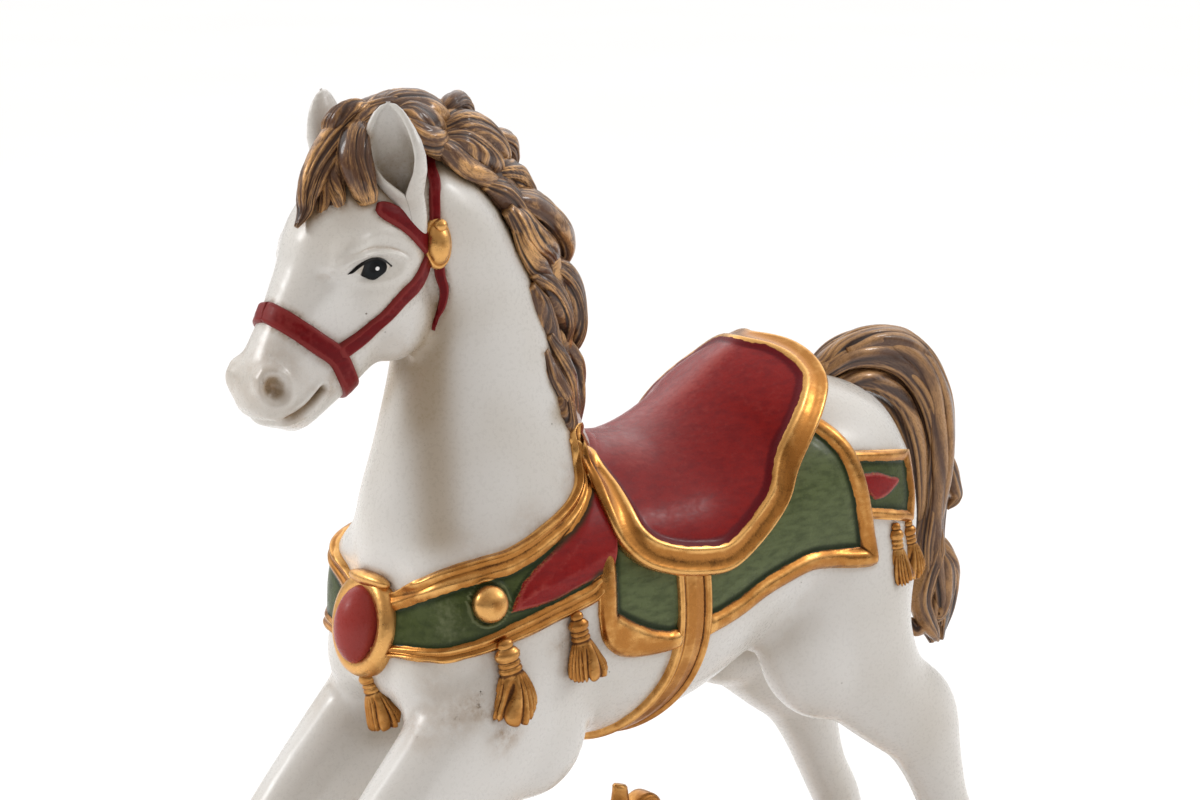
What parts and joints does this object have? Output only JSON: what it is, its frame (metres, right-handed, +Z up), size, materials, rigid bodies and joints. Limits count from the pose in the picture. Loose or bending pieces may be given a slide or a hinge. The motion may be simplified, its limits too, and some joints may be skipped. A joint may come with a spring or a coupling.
{
  "type": "rocking horse ornament",
  "caption": "Painted rocking horse figurine in carousel tack, leaping on a curved rocker stand, for display on a shelf or table.",
  "frame": {"origin": "on the floor, under the middle of the rocker stand", "axes": "+X the way the horse faces, along the rockers; +Y the horse's left side; +Z up"},
  "size_m": [0.3626, 0.08, 0.3249],
  "materials": {
    "ivory_enamel": "hand-painted satin enamel on cast resin, antiqued brown in the hollows, with dark red, green and gold tack",
    "antique_gold": "hand-painted antique gold with brown in the hollows, on cast resin"
  },
  "bodies": {
    "root": {"horse": "ivory_enamel", "rocker_stand": "antique_gold"}
  },
  "joints": []
}
